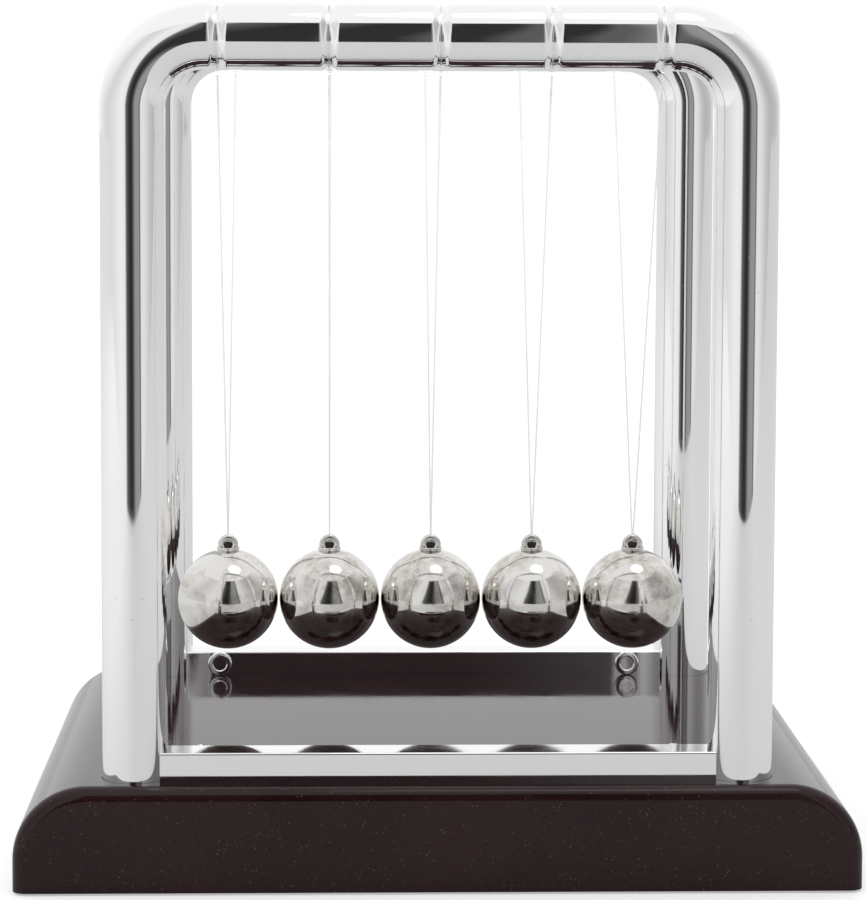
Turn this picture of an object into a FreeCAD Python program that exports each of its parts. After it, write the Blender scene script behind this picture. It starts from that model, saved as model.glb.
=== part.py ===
import FreeCAD, Part
import math
import os
import Sketcher

# Five-ball desk cradle. Millimetres, +Z up, +X to the right and -Y to the front.
# The origin is the middle of the footprint, on the surface that the foot pads stand on.

SIZES = {
    # base
    "base_width": 140.0,
    "base_depth": 110.0,
    "base_height": 17.8,
    "side_round": 12.2,
    "edge_round": 2.4,
    "shell_wall": 2.6,
    # bottom cover, ballast and foot pads
    "cover_thickness": 2.4,
    "cover_gap": 0.2,
    "pad_diameter": 11.0,
    "pad_thickness": 1.4,
    "pad_stand": 0.4,
    "pad_inset": 12.0,
    "ballast_length": 92.0,
    "ballast_depth": 54.0,
    "ballast_thickness": 6.0,
    # arches
    "arch_spacing": 92.0,
    "tube_diameter": 10.8,
    "tube_wall": 1.6,
    "rail_height": 140.1,
    "bend_radius": 11.6,
    "rail_margin": 0.55,
    "groove_width": 3.4,
    "groove_depth": 0.55,
    "groove_shoulder": 1.2,
    "socket_depth": 8.0,
    "plug_length": 16.0,
    # crossbars between the feet of each arch
    "bar_depth": 6.6,
    "bar_height": 4.6,
    "bar_boss_diameter": 4.6,
    "bar_boss_height": 0.8,
    "bar_boss_spacing": 79.0,
    "bar_screw_spacing": 50.0,
    # balls and their suspension
    "ball_diameter": 18.0,
    "ball_gap": 0.2,
    "ball_height": 40.0,
    "eye_wire": 1.2,
    "eye_hole": 1.3,
    "eye_rise": 0.8,
    "collar_ledge": 0.25,
    "collar_height": 0.7,
    "stud_length": 4.0,
    "thread_diameter": 0.3,
    "knot_diameter": 0.9,
    # screws: clearance hole, shank and head
    "screw_shank": 2.6,
    "screw_head": 5.0,
    "head_height": 1.4,
    "arch_screw_length": 14.0,
    "bar_screw_length": 5.4,
    "cover_screw_length": 8.0,
    "ballast_screw_length": 6.0,
    "cover_screw_spacing_x": 112.0,
    "cover_screw_spacing_y": 40.0,
    "ballast_screw_spacing": 60.0,
    # clearances
    "slip_fit": 0.1,
    "close_fit": 0.02,
    "hang_clearance": 0.08,
    "leg_start": 0.5,
}
BALLS = 5
# sizes that follow from others: the straight rail is just long enough for its thread grooves
TIED_SIZES = {
    "post_spacing": f"={BALLS - 1} * (ball_diameter + ball_gap) + groove_width"
    " + 2 * (bend_radius + rail_margin)",
}
ENDS = {"front": -1, "rear": 1}
SIDES = {"left": -1, "right": 1}
X_AXIS = FreeCAD.Vector(1, 0, 0)
Y_AXIS = FreeCAD.Vector(0, 1, 0)
Z_AXIS = FreeCAD.Vector(0, 0, 1)
ALONG_X = FreeCAD.Rotation(Y_AXIS, -90)
ALONG_Y = FreeCAD.Rotation(X_AXIS, -90)
UPRIGHT = FreeCAD.Rotation()

doc = FreeCAD.newDocument("NewtonsCradle")
sheet = doc.addObject("Spreadsheet::Sheet", "Sizes")
for row, (alias, value) in enumerate({**SIZES, **TIED_SIZES}.items(), start=1):
    sheet.set(f"A{row}", alias)
    sheet.set(f"B{row}", str(value))
    sheet.setAlias(f"B{row}", alias)
doc.recompute()

# Derived heights and places, as formulas on the sheet's cells.
SHELL_BOTTOM = "Sizes.pad_stand"
COVER_TOP = "(Sizes.pad_stand + Sizes.cover_thickness)"
BASE_TOP = "Sizes.base_height"
SOCKET_FLOOR = "(Sizes.base_height - Sizes.socket_depth)"
BOSS_BOTTOM = "(Sizes.base_height - Sizes.socket_depth - Sizes.shell_wall)"
TOP_WALL_UNDERSIDE = "(Sizes.base_height - Sizes.shell_wall)"
BOSS_TOP = "(Sizes.base_height - Sizes.shell_wall / 2)"
TUBE_RADIUS = "(Sizes.tube_diameter / 2)"
BORE_RADIUS = "(Sizes.tube_diameter / 2 - Sizes.tube_wall)"
HOLE_RADIUS = "(Sizes.screw_shank / 2 + Sizes.slip_fit)"
THREAD_BORE_RADIUS = "(Sizes.screw_shank / 2 + Sizes.close_fit)"
HEAD_SEAT_RADIUS = "(Sizes.screw_head / 2 + Sizes.slip_fit)"
HEAD_SEAT_DEPTH = "(Sizes.head_height + Sizes.slip_fit)"
HEAD_SEAT_TOP = f"({SHELL_BOTTOM} + {HEAD_SEAT_DEPTH})"
BALL_RADIUS = "(Sizes.ball_diameter / 2)"
EYE_RADIUS = "((Sizes.eye_hole + Sizes.eye_wire) / 2)"
EYE_OUTER_RADIUS = "(Sizes.eye_hole / 2 + Sizes.eye_wire)"
EYE_HEIGHT = f"(Sizes.ball_height + {BALL_RADIUS} + Sizes.eye_rise)"
COLLAR_RADIUS = f"({EYE_OUTER_RADIUS} + Sizes.collar_ledge)"
THREAD_RADIUS = "(Sizes.thread_diameter / 2)"
LOOP_RADIUS = f"({TUBE_RADIUS} - Sizes.groove_depth + {THREAD_RADIUS} + Sizes.close_fit)"
KNOT_DROP = (
    f"({TUBE_RADIUS} - Sizes.groove_depth + Sizes.knot_diameter / 2 + Sizes.close_fit)"
)
PIVOT_DROP = f"({KNOT_DROP} + Sizes.knot_diameter / 2 + Sizes.hang_clearance)"


def size(alias):
    """A driving dimension's present value."""
    return float(sheet.get(alias))


def name_of(*words):
    """An object name made of words."""
    return "_".join(words)


def half(alias, sign):
    """The formula for half a spacing, to one side of the middle."""
    return f"{sign} * Sizes.{alias} / 2"


def ball_x(number):
    """The formula for the place of ball 1 to 5 along the row."""
    return f"({number - (BALLS + 1) / 2}) * (Sizes.ball_diameter + Sizes.ball_gap)"


def place(shape, x="0", y="0", z="0", turn=UPRIGHT):
    """Turn an object, and bind its place to the sheet."""
    shape.Placement = FreeCAD.Placement(FreeCAD.Vector(), turn)
    for axis, formula in zip("xyz", (x, y, z)):
        shape.setExpression(f"Placement.Base.{axis}", formula)
    return shape


def add(kind, name, sizes, **where):
    """A Part primitive whose sizes and place are formulas."""
    shape = doc.addObject(kind, name)
    for field, formula in sizes.items():
        shape.setExpression(field, formula)
    return place(shape, **where)


def cylinder(name, radius, height, **where):
    return add("Part::Cylinder", name, {"Radius": radius, "Height": height}, **where)


def sphere(name, radius, **where):
    return add("Part::Sphere", name, {"Radius": radius}, **where)


def torus(name, ring_radius, wire_radius, **where):
    return add("Part::Torus", name, {"Radius1": ring_radius, "Radius2": wire_radius}, **where)


def box(name, length, width, height, **where):
    """A box centred on its place in X and Y, standing on it in Z."""
    where["x"] = f"{where.get('x', '0')} - ({length}) / 2"
    where["y"] = f"{where.get('y', '0')} - ({width}) / 2"
    return add("Part::Box", name, {"Length": length, "Width": width, "Height": height}, **where)


def fuse(name, shapes):
    """Several touching solids made into one."""
    fused = doc.addObject("Part::MultiFuse", name)
    fused.Shapes = shapes
    fused.Refine = True
    return fused


def group(name, shapes):
    """Several separate solids in one node."""
    together = doc.addObject("Part::Compound", name)
    together.Links = shapes
    return together


def cut(name, base, tools):
    """A solid with one or more tools taken away."""
    pared = doc.addObject("Part::Cut", name)
    pared.Base = base
    pared.Tool = tools[0] if len(tools) == 1 else fuse(name_of(name, "tools"), tools)
    pared.Refine = True
    return pared


def edges_where(shape, wanted):
    """The names of the edges whose bounding box passes a test."""
    return [f"Edge{n}" for n, edge in enumerate(shape.Edges, start=1) if wanted(edge.BoundBox)]


def origin_plane(body, role):
    return next(item for item in body.Origin.OriginFeatures if item.Role == role)


def add_rectangle(sketch, low_x, low_y, width, height):
    """Four lines, closed and square, whose two sizes and low corner are formulas."""
    start_side = 10
    square = [(0, 0), (start_side, 0), (start_side, start_side), (0, start_side)]
    for n, start in enumerate(square):
        end = square[(n + 1) % 4]
        line = Part.LineSegment(FreeCAD.Vector(*start, 0), FreeCAD.Vector(*end, 0))
        sketch.addGeometry(line, False)
    for n in range(4):
        sketch.addConstraint(Sketcher.Constraint("Coincident", n, 2, (n + 1) % 4, 1))
    for n, kind in enumerate(("Horizontal", "Vertical", "Horizontal", "Vertical")):
        sketch.addConstraint(Sketcher.Constraint(kind, n))
    measures = (
        ("DistanceX", (0, 1, 0, 2), start_side, width),
        ("DistanceY", (1, 1, 1, 2), start_side, height),
        ("DistanceX", (-1, 1, 0, 1), 0.1, low_x),
        ("DistanceY", (-1, 1, 0, 1), 0.1, low_y),
    )
    for kind, ends, value, formula in measures:
        number = sketch.addConstraint(Sketcher.Constraint(kind, *ends, value))
        sketch.setExpression(f"Constraints[{number}]", formula)


def rounded_slab(name, width, depth, bottom, top, side_round, edge_round):
    """A slab with broad rounds along its left and right top edges, and small ones round its ends."""
    body = doc.addObject("PartDesign::Body", name)
    sketch = body.newObject("Sketcher::SketchObject", name_of(name, "profile"))
    sketch.AttachmentSupport = (origin_plane(body, "XZ_Plane"), [""])
    sketch.MapMode = "FlatFace"
    add_rectangle(sketch, f"-({width}) / 2", bottom, width, f"({top}) - ({bottom})")
    pad = body.newObject("PartDesign::Pad", name_of(name, "pad"))
    pad.Profile = sketch
    pad.Midplane = True
    pad.setExpression("Length", depth)
    doc.recompute()

    whole = pad.Shape.BoundBox

    def on_top(b):
        return b.ZMin > whole.ZMax - 0.01

    def along_y(b):
        return b.YLength > whole.YLength - 0.01

    sides = body.newObject("PartDesign::Fillet", name_of(name, "sides"))
    sides.Base = (pad, edges_where(pad.Shape, lambda b: on_top(b) and along_y(b)))
    sides.setExpression("Radius", side_round)
    doc.recompute()

    def at_an_end(b):
        return b.YLength < 0.01 and b.ZMax > whole.ZMin + 0.01

    ends = body.newObject("PartDesign::Fillet", name_of(name, "ends"))
    ends.Base = (sides, edges_where(sides.Shape, at_an_end))
    ends.setExpression("Radius", edge_round)
    body.Tip = ends
    doc.recompute()
    return body


def corners(spacing_x, spacing_y):
    """Four named places, one in each quarter of the footprint."""
    for end, sign_y in ENDS.items():
        for side, sign_x in SIDES.items():
            yield name_of(end, side), half(spacing_x, sign_x), half(spacing_y, sign_y)


def screw(name, x, y, seat, length):
    """A pan-head screw that points up, with the underside of its head on the seat."""
    shank = cylinder(name_of(name, "shank"), "Sizes.screw_shank / 2", length, x=x, y=y, z=seat)
    head_bottom = f"{seat} - Sizes.head_height"
    head = cylinder(
        name_of(name, "head"), "Sizes.screw_head / 2", "Sizes.head_height", x=x, y=y, z=head_bottom
    )
    return fuse(name, [shank, head])


def base_shell():
    """A moulded shell, open below, with post sockets, cover bosses and holes for its screws."""
    outer = rounded_slab(
        "shell_outer",
        "Sizes.base_width",
        "Sizes.base_depth",
        SHELL_BOTTOM,
        BASE_TOP,
        "Sizes.side_round",
        "Sizes.edge_round",
    )
    inner = rounded_slab(
        "shell_inner",
        "Sizes.base_width - 2 * Sizes.shell_wall",
        "Sizes.base_depth - 2 * Sizes.shell_wall",
        SHELL_BOTTOM,
        TOP_WALL_UNDERSIDE,
        "Sizes.side_round - Sizes.shell_wall",
        "Sizes.edge_round / 2",
    )
    solids = [cut("shell_walls", outer, [inner])]
    holes = []
    for corner, x, y in corners("post_spacing", "arch_spacing"):
        boss_radius = f"{TUBE_RADIUS} + Sizes.shell_wall"
        boss_height = f"{BOSS_TOP} - {BOSS_BOTTOM}"
        boss = name_of("socket_boss", corner)
        solids.append(cylinder(boss, boss_radius, boss_height, x=x, y=y, z=BOSS_BOTTOM))
        socket_radius = f"{TUBE_RADIUS} + Sizes.slip_fit"
        socket = name_of("socket", corner)
        socket_height = "Sizes.socket_depth + Sizes.edge_round"
        holes.append(cylinder(socket, socket_radius, socket_height, x=x, y=y, z=SOCKET_FLOOR))
        hole = name_of("arch_screw_hole", corner)
        holes.append(cylinder(hole, HOLE_RADIUS, "Sizes.base_height", x=x, y=y, z="0"))
    for corner, x, y in corners("cover_screw_spacing_x", "cover_screw_spacing_y"):
        boss_height = f"{BOSS_TOP} - {COVER_TOP}"
        boss = name_of("cover_boss", corner)
        boss_radius = "Sizes.screw_shank / 2 + Sizes.shell_wall"
        solids.append(cylinder(boss, boss_radius, boss_height, x=x, y=y, z=COVER_TOP))
        bore = name_of("cover_screw_bore", corner)
        bore_depth = "Sizes.cover_screw_length"
        holes.append(cylinder(bore, THREAD_BORE_RADIUS, bore_depth, x=x, y=y, z=HEAD_SEAT_TOP))
    for corner, x, y in corners("bar_screw_spacing", "arch_spacing"):
        hole = name_of("bar_screw_hole", corner)
        holes.append(
            cylinder(hole, HOLE_RADIUS, "2 * Sizes.shell_wall", x=x, y=y, z=TOP_WALL_UNDERSIDE)
        )
    return cut("base_shell", fuse("shell_with_bosses", solids), holes)


def pad_places():
    """Foot pads stand in from the corners of the footprint."""
    for end, sign_y in ENDS.items():
        for side, sign_x in SIDES.items():
            x = f"{sign_x} * (Sizes.base_width / 2 - Sizes.pad_inset)"
            y = f"{sign_y} * (Sizes.base_depth / 2 - Sizes.pad_inset)"
            yield name_of(end, side), x, y


def bottom_cover():
    """A flat plate that closes the shell from below, flush with its rim."""
    reach = "2 * (Sizes.shell_wall + Sizes.cover_gap)"
    outline = rounded_slab(
        "cover_outline",
        f"Sizes.base_width - {reach}",
        f"Sizes.base_depth - {reach}",
        SHELL_BOTTOM,
        TOP_WALL_UNDERSIDE,
        "Sizes.side_round - Sizes.shell_wall",
        "Sizes.edge_round / 2",
    )
    layer = box(
        "cover_layer",
        "Sizes.base_width",
        "Sizes.base_depth",
        "Sizes.cover_thickness",
        z=SHELL_BOTTOM,
    )
    plate = doc.addObject("Part::Common", "cover_plate")
    plate.Base = outline
    plate.Tool = layer
    holes = []
    for corner, x, y in pad_places():
        recess = name_of("pad_recess", corner)
        radius = "Sizes.pad_diameter / 2 + Sizes.slip_fit"
        holes.append(cylinder(recess, radius, "Sizes.pad_thickness", x=x, y=y, z="0"))
    fixings = list(corners("cover_screw_spacing_x", "cover_screw_spacing_y"))
    fixings += ballast_fixings()
    for spot, x, y in fixings:
        seat = name_of("head_seat", spot)
        holes.append(cylinder(seat, HEAD_SEAT_RADIUS, HEAD_SEAT_TOP, x=x, y=y, z="0"))
        hole = name_of("cover_hole", spot)
        holes.append(cylinder(hole, HOLE_RADIUS, f"{COVER_TOP} + 1", x=x, y=y, z="0"))
    return cut("bottom_cover", plate, holes)


def ballast_fixings():
    return [
        (name_of("ballast", side), half("ballast_screw_spacing", sign), "0")
        for side, sign in SIDES.items()
    ]


def ballast_plate():
    """A steel bar on the cover that keeps the cradle still."""
    bar = box(
        "ballast_bar",
        "Sizes.ballast_length",
        "Sizes.ballast_depth",
        "Sizes.ballast_thickness",
        z=COVER_TOP,
    )
    bores = [
        cylinder(
            name_of(spot, "bore"),
            THREAD_BORE_RADIUS,
            "Sizes.ballast_screw_length",
            x=x,
            y=y,
            z=HEAD_SEAT_TOP,
        )
        for spot, x, y in ballast_fixings()
    ]
    return cut("ballast_plate", bar, bores)


def arch_path(name, y):
    """The centreline of an arch: up one post, across the rail and down the other post."""
    path = doc.addObject("Sketcher::SketchObject", name)
    place(path, y=y, turn=FreeCAD.Rotation(X_AXIS, 90))
    # rough starting sizes, which the constraints then correct
    across, high, bend = 50, 130, 12
    low_left = FreeCAD.Vector(-across, 0, 0)
    top_left = FreeCAD.Vector(-across, high, 0)
    rail_left = FreeCAD.Vector(-across + bend, high + bend, 0)
    rail_right = FreeCAD.Vector(across - bend, high + bend, 0)
    top_right = FreeCAD.Vector(across, high, 0)
    low_right = FreeCAD.Vector(across, 0, 0)
    left_bend = Part.Circle(FreeCAD.Vector(-across + bend, high, 0), Z_AXIS, bend)
    right_bend = Part.Circle(FreeCAD.Vector(across - bend, high, 0), Z_AXIS, bend)
    quarter = math.pi / 2
    path.addGeometry(Part.LineSegment(low_left, top_left), False)
    path.addGeometry(Part.ArcOfCircle(left_bend, quarter, 2 * quarter), False)
    path.addGeometry(Part.LineSegment(rail_left, rail_right), False)
    path.addGeometry(Part.ArcOfCircle(right_bend, 0, quarter), False)
    path.addGeometry(Part.LineSegment(top_right, low_right), False)
    # an arc runs anticlockwise, so its second point is the one that meets the left post
    joins = (("Tangent", 0, 2, 1, 2), ("Tangent", 1, 1, 2, 1), ("Tangent", 2, 2, 3, 2))
    for join in (*joins, ("Tangent", 3, 1, 4, 1)):
        path.addConstraint(Sketcher.Constraint(*join))
    path.addConstraint(Sketcher.Constraint("Vertical", 0))
    path.addConstraint(Sketcher.Constraint("Horizontal", 2))
    path.addConstraint(Sketcher.Constraint("Vertical", 4))
    path.addConstraint(Sketcher.Constraint("Equal", 1, 3))
    path.addConstraint(Sketcher.Constraint("Symmetric", 0, 1, 4, 2, -2))
    measures = (
        (("Radius", 1, bend), "Sizes.bend_radius"),
        (("DistanceX", 0, 1, 4, 2, 2 * across), "Sizes.post_spacing"),
        (("DistanceY", -1, 1, 0, 1, 1.0), SOCKET_FLOOR),
        (("DistanceY", -1, 1, 2, 1, high + bend), "Sizes.rail_height"),
    )
    for constraint, formula in measures:
        number = path.addConstraint(Sketcher.Constraint(*constraint))
        path.setExpression(f"Constraints[{number}]", formula)
    return path


def swept_rod(name, path, edges, radius, x, y):
    """A round rod along a stretch of an arch's centreline, from the foot of a post."""
    circle = doc.addObject("Part::Circle", name_of(name, "section"))
    circle.setExpression("Radius", radius)
    place(circle, x=x, y=y, z=SOCKET_FLOOR)
    rod = doc.addObject("Part::Sweep", name)
    rod.Sections = [circle]
    rod.Spine = (path, edges)
    rod.Solid = True
    rod.Frenet = False
    return rod


def grooved_rail(name, y):
    """The straight top tube of an arch: a turned profile with a smooth groove above each ball."""
    outer = size("tube_diameter") / 2
    inner = outer - size("tube_wall")
    half_length = size("post_spacing") / 2 - size("bend_radius")
    depth = size("groove_depth")
    shoulder = size("groove_shoulder")
    half_width = size("groove_width") / 2
    # a hollow arc between two rounded shoulders, each tangent to the next
    hollow = (half_width**2 / depth + depth) / 2 - shoulder
    share = hollow / (hollow + shoulder)
    bend_x = half_width * share
    bend_r = outer - depth + hollow - (hollow + shoulder - depth) * share
    lean = math.asin(half_width / (hollow + shoulder)) / 2
    crown_x = half_width - shoulder * math.sin(lean)
    crown_r = outer - shoulder + shoulder * math.cos(lean)
    pitch = size("ball_diameter") + size("ball_gap")

    def point(along, radius):
        return FreeCAD.Vector(along, 0, radius)

    edges = []
    last = point(-half_length, outer)
    for number in range(1, BALLS + 1):
        x = (number - (BALLS + 1) / 2) * pitch
        left = point(x - half_width, outer)
        left_bend = point(x - bend_x, bend_r)
        right_bend = point(x + bend_x, bend_r)
        right = point(x + half_width, outer)
        edges.append(Part.LineSegment(last, left))
        edges.append(Part.Arc(left, point(x - crown_x, crown_r), left_bend))
        edges.append(Part.Arc(left_bend, point(x, outer - depth), right_bend))
        edges.append(Part.Arc(right_bend, point(x + crown_x, crown_r), right))
        last = right
    ends = ((half_length, outer), (half_length, inner), (-half_length, inner), (-half_length, outer))
    for along, radius in ends:
        corner = point(along, radius)
        edges.append(Part.LineSegment(last, corner))
        last = corner
    profile = Part.Face(Part.Wire([edge.toShape() for edge in edges]))
    rail = doc.addObject("Part::Feature", name)
    rail.Shape = profile.revolve(FreeCAD.Vector(), X_AXIS, 360)
    return place(rail, y=y, z="Sizes.rail_height")


def arch(end):
    """A chrome tube bent into an arch, with a thread groove round its rail above each ball."""
    name = name_of(end, "arch")
    y = half("arch_spacing", ENDS[end])
    path = arch_path(name_of(name, "path"), y)
    pieces = [grooved_rail(name_of(name, "rail"), y)]
    for side, edges in (("left", ["Edge1", "Edge2"]), ("right", ["Edge4", "Edge5"])):
        post = name_of(name, side, "post")
        x = half("post_spacing", SIDES[side])
        outside = swept_rod(name_of(post, "outside"), path, edges, TUBE_RADIUS, x, y)
        bore = swept_rod(name_of(post, "bore"), path, edges, BORE_RADIUS, x, y)
        pieces.append(cut(post, outside, [bore]))
    return fuse(name, pieces)


def post_plug(corner, x, y):
    """A plastic plug in the foot of a post, with a bore for the screw from below."""
    name = name_of("post_plug", corner)
    plug_radius = f"{BORE_RADIUS} - Sizes.close_fit"
    rod = cylinder(name_of(name, "rod"), plug_radius, "Sizes.plug_length", x=x, y=y, z=SOCKET_FLOOR)
    bore = cylinder(
        name_of(name, "bore"),
        THREAD_BORE_RADIUS,
        "Sizes.arch_screw_length",
        x=x,
        y=y,
        z=BOSS_BOTTOM,
    )
    return cut(name, rod, [bore])


def crossbar(end):
    """A bar on the base between the two posts of an arch, with a round boss near each end."""
    name = name_of(end, "crossbar")
    sign = ENDS[end]
    y = half("arch_spacing", sign)
    inwards = FreeCAD.Rotation(X_AXIS, 90 * sign)
    bar = box(
        name_of(name, "bar"),
        "Sizes.post_spacing",
        "Sizes.bar_depth",
        "Sizes.bar_height",
        y=y,
        z=BASE_TOP,
    )
    solids = [bar]
    tools = []
    for side, sign_x in SIDES.items():
        saddle_radius = f"{TUBE_RADIUS} + Sizes.close_fit"
        tools.append(
            cylinder(
                name_of(name, "saddle", side),
                saddle_radius,
                "Sizes.base_height",
                x=half("post_spacing", sign_x),
                y=y,
                z=SOCKET_FLOOR,
            )
        )
        # the bosses are on the face that looks towards the balls
        solids.append(
            cylinder(
                name_of(name, "boss", side),
                "Sizes.bar_boss_diameter / 2",
                "Sizes.bar_depth / 2 + Sizes.bar_boss_height",
                x=half("bar_boss_spacing", sign_x),
                y=y,
                z=f"{BASE_TOP} + Sizes.bar_boss_diameter / 2",
                turn=inwards,
            )
        )
        tools.append(
            cylinder(
                name_of(name, "screw_bore", side),
                THREAD_BORE_RADIUS,
                "Sizes.bar_screw_length",
                x=half("bar_screw_spacing", sign_x),
                y=y,
                z=TOP_WALL_UNDERSIDE,
            )
        )
    return cut(name, fuse(name_of(name, "with_bosses"), solids), tools)


def thread_loops(end):
    """The threads tied round a rail: a loop in each groove, whose ends meet at the knot underneath."""
    y = half("arch_spacing", ENDS[end])
    loop_radius = size("tube_diameter") / 2 - size("groove_depth") + size("thread_diameter") / 2
    knot_reach = size("knot_diameter") / 2 + size("close_fit")
    gap = math.degrees(knot_reach / loop_radius)
    # a partial ring starts at the top of the rail, and is turned to leave its gap at the knot
    turn = ALONG_X * FreeCAD.Rotation(Z_AXIS, 180 + gap)
    pieces = []
    for number in range(1, BALLS + 1):
        name = name_of(end, "loop", str(number))
        x = ball_x(number)
        ring = torus(
            name_of(name, "ring"),
            LOOP_RADIUS,
            THREAD_RADIUS,
            x=x,
            y=y,
            z="Sizes.rail_height",
            turn=turn,
        )
        ring.Angle3 = 360 - 2 * gap
        knot_height = f"Sizes.rail_height - {KNOT_DROP}"
        knot = sphere(name_of(name, "knot"), "Sizes.knot_diameter / 2", x=x, y=y, z=knot_height)
        pieces += [ring, knot]
    return group(name_of(end, "thread_loops"), pieces)


def ball(number):
    """A polished steel ball with a bore for its eyelet, whose mouth is faced flat for the collar."""
    name = f"ball_{number}"
    x = ball_x(number)
    whole = sphere(name_of(name, "sphere"), BALL_RADIUS, x=x, z="Sizes.ball_height")
    collar_bottom = f"Sizes.ball_height + {BALL_RADIUS} - Sizes.collar_height / 2"
    seat = cylinder(
        name_of(name, "seat"),
        f"{COLLAR_RADIUS} + Sizes.close_fit",
        "Sizes.collar_height",
        x=x,
        z=collar_bottom,
    )
    bore = cylinder(
        name_of(name, "bore"),
        f"{EYE_OUTER_RADIUS} + Sizes.close_fit",
        "Sizes.stud_length + Sizes.collar_height",
        x=x,
        z=f"{collar_bottom} - Sizes.stud_length",
    )
    return cut(name, whole, [seat, bore])


def eyelet(number):
    """A ring that faces front and back, set in a collar and a stud as wide as the ring."""
    name = f"eyelet_{number}"
    x = ball_x(number)
    collar_bottom = f"Sizes.ball_height + {BALL_RADIUS} - Sizes.collar_height / 2"
    collar = cylinder(
        name_of(name, "collar"),
        COLLAR_RADIUS,
        "Sizes.collar_height",
        x=x,
        z=collar_bottom,
    )
    stud = cylinder(
        name_of(name, "stud"),
        EYE_OUTER_RADIUS,
        "Sizes.stud_length",
        x=x,
        z=f"{collar_bottom} - Sizes.stud_length",
    )
    ring = torus(
        name_of(name, "ring"), EYE_RADIUS, "Sizes.eye_wire / 2", x=x, z=EYE_HEIGHT, turn=ALONG_Y
    )
    return fuse(name, [collar, stud, ring])


def thread_heights():
    """How high above the base plane a thread's pivots and its bend under the eyelet's ring are."""
    tube_radius = size("tube_diameter") / 2
    knot_drop = tube_radius - size("groove_depth") + size("knot_diameter") / 2 + size("close_fit")
    pivot = size("rail_height") - knot_drop - size("knot_diameter") / 2 - size("hang_clearance")
    eye = size("ball_height") + size("ball_diameter") / 2 + size("eye_rise")
    return pivot, eye + (size("eye_hole") + size("eye_wire")) / 2


def thread(number):
    """One thread: down from the front rail, under the top of the eyelet's ring, up to the rear rail."""
    pivot_z, bend_z = thread_heights()
    reach = size("arch_spacing") / 2
    bend_radius = (size("eye_wire") + size("thread_diameter")) / 2 + size("close_fit")
    x = (number - (BALLS + 1) / 2) * (size("ball_diameter") + size("ball_gap"))
    # the legs are tangents from the pivots to the bend
    drop = pivot_z - bend_z
    slant = math.atan2(reach, drop)
    lean = slant + math.asin(bend_radius / math.hypot(reach, drop))
    touch_y = bend_radius * math.cos(lean)
    touch_z = bend_z - bend_radius * math.sin(lean)
    rise = FreeCAD.Vector(0, reach - touch_y, pivot_z - touch_z).normalize()
    top_y = reach - rise.y * size("leg_start")
    top_z = pivot_z - rise.z * size("leg_start")
    front_top = FreeCAD.Vector(x, -top_y, top_z)
    rear_top = FreeCAD.Vector(x, top_y, top_z)
    front_touch = FreeCAD.Vector(x, -touch_y, touch_z)
    rear_touch = FreeCAD.Vector(x, touch_y, touch_z)
    lowest = FreeCAD.Vector(x, 0, bend_z - bend_radius)
    path = Part.Wire(
        [
            Part.LineSegment(front_top, front_touch).toShape(),
            Part.Arc(front_touch, lowest, rear_touch).toShape(),
            Part.LineSegment(rear_touch, rear_top).toShape(),
        ]
    )
    radius = size("thread_diameter") / 2
    mouth = Part.Wire([Part.makeCircle(radius, front_top, front_touch - front_top)])
    string = doc.addObject("Part::Feature", f"string_{number}")
    string.Shape = path.makePipeShell([mouth], True, False)
    string.Placement = FreeCAD.Placement()
    return string


def fixings(name, places, seat, length):
    """A node of identical screws."""
    screws = [screw(name_of(name, spot), x, y, seat, length) for spot, x, y in places]
    return group(name, screws)


def build_parts():
    """Every sub-part, by the name of its node."""
    parts = {
        "base_shell": base_shell(),
        "bottom_cover": bottom_cover(),
        "ballast_plate": ballast_plate(),
        "cover_screws": fixings(
            "cover_screws",
            corners("cover_screw_spacing_x", "cover_screw_spacing_y"),
            HEAD_SEAT_TOP,
            "Sizes.cover_screw_length",
        ),
        "ballast_screws": fixings(
            "ballast_screws", ballast_fixings(), HEAD_SEAT_TOP, "Sizes.ballast_screw_length"
        ),
        "arch_screws": fixings(
            "arch_screws",
            corners("post_spacing", "arch_spacing"),
            BOSS_BOTTOM,
            "Sizes.arch_screw_length",
        ),
        "crossbar_screws": fixings(
            "crossbar_screws",
            corners("bar_screw_spacing", "arch_spacing"),
            TOP_WALL_UNDERSIDE,
            "Sizes.bar_screw_length",
        ),
    }
    for corner, x, y in pad_places():
        name = name_of("foot_pad", corner)
        parts[name] = cylinder(name, "Sizes.pad_diameter / 2", "Sizes.pad_thickness", x=x, y=y)
    for corner, x, y in corners("post_spacing", "arch_spacing"):
        parts[name_of("post_plug", corner)] = post_plug(corner, x, y)
    for end in ENDS:
        parts[name_of(end, "arch")] = arch(end)
        parts[name_of(end, "crossbar")] = crossbar(end)
        parts[name_of(end, "thread_loops")] = thread_loops(end)
    for number in range(1, BALLS + 1):
        parts[f"ball_{number}"] = ball(number)
        parts[f"eyelet_{number}"] = eyelet(number)
        parts[f"string_{number}"] = thread(number)
    return parts


def check(parts):
    """Stop if any object of the document failed, or any sub-part's shape is unsound."""
    for item in doc.Objects:
        if "Invalid" in item.State or "Error" in item.State:
            raise RuntimeError(f"{item.Name} failed: {item.State}")
    for name, part in parts.items():
        shape = part.Shape
        if shape.isNull() or not shape.isValid() or not shape.Solids:
            raise RuntimeError(f"{name} has no sound shape")


def main():
    parts = build_parts()
    for name, part in parts.items():
        part.Label = name
    doc.recompute()
    check(parts)
    os.makedirs("parts", exist_ok=True)
    for name, part in parts.items():
        part.Shape.exportStep(os.path.join("parts", f"{name}.step"))
        box_size = part.Shape.BoundBox
        print(f"{name}: {len(part.Shape.Solids)} solids, {part.Shape.Volume:.1f} mm3, {box_size}")


main()
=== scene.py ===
import math

import bmesh
import bpy
from mathutils import Euler, Matrix, Vector


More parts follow.
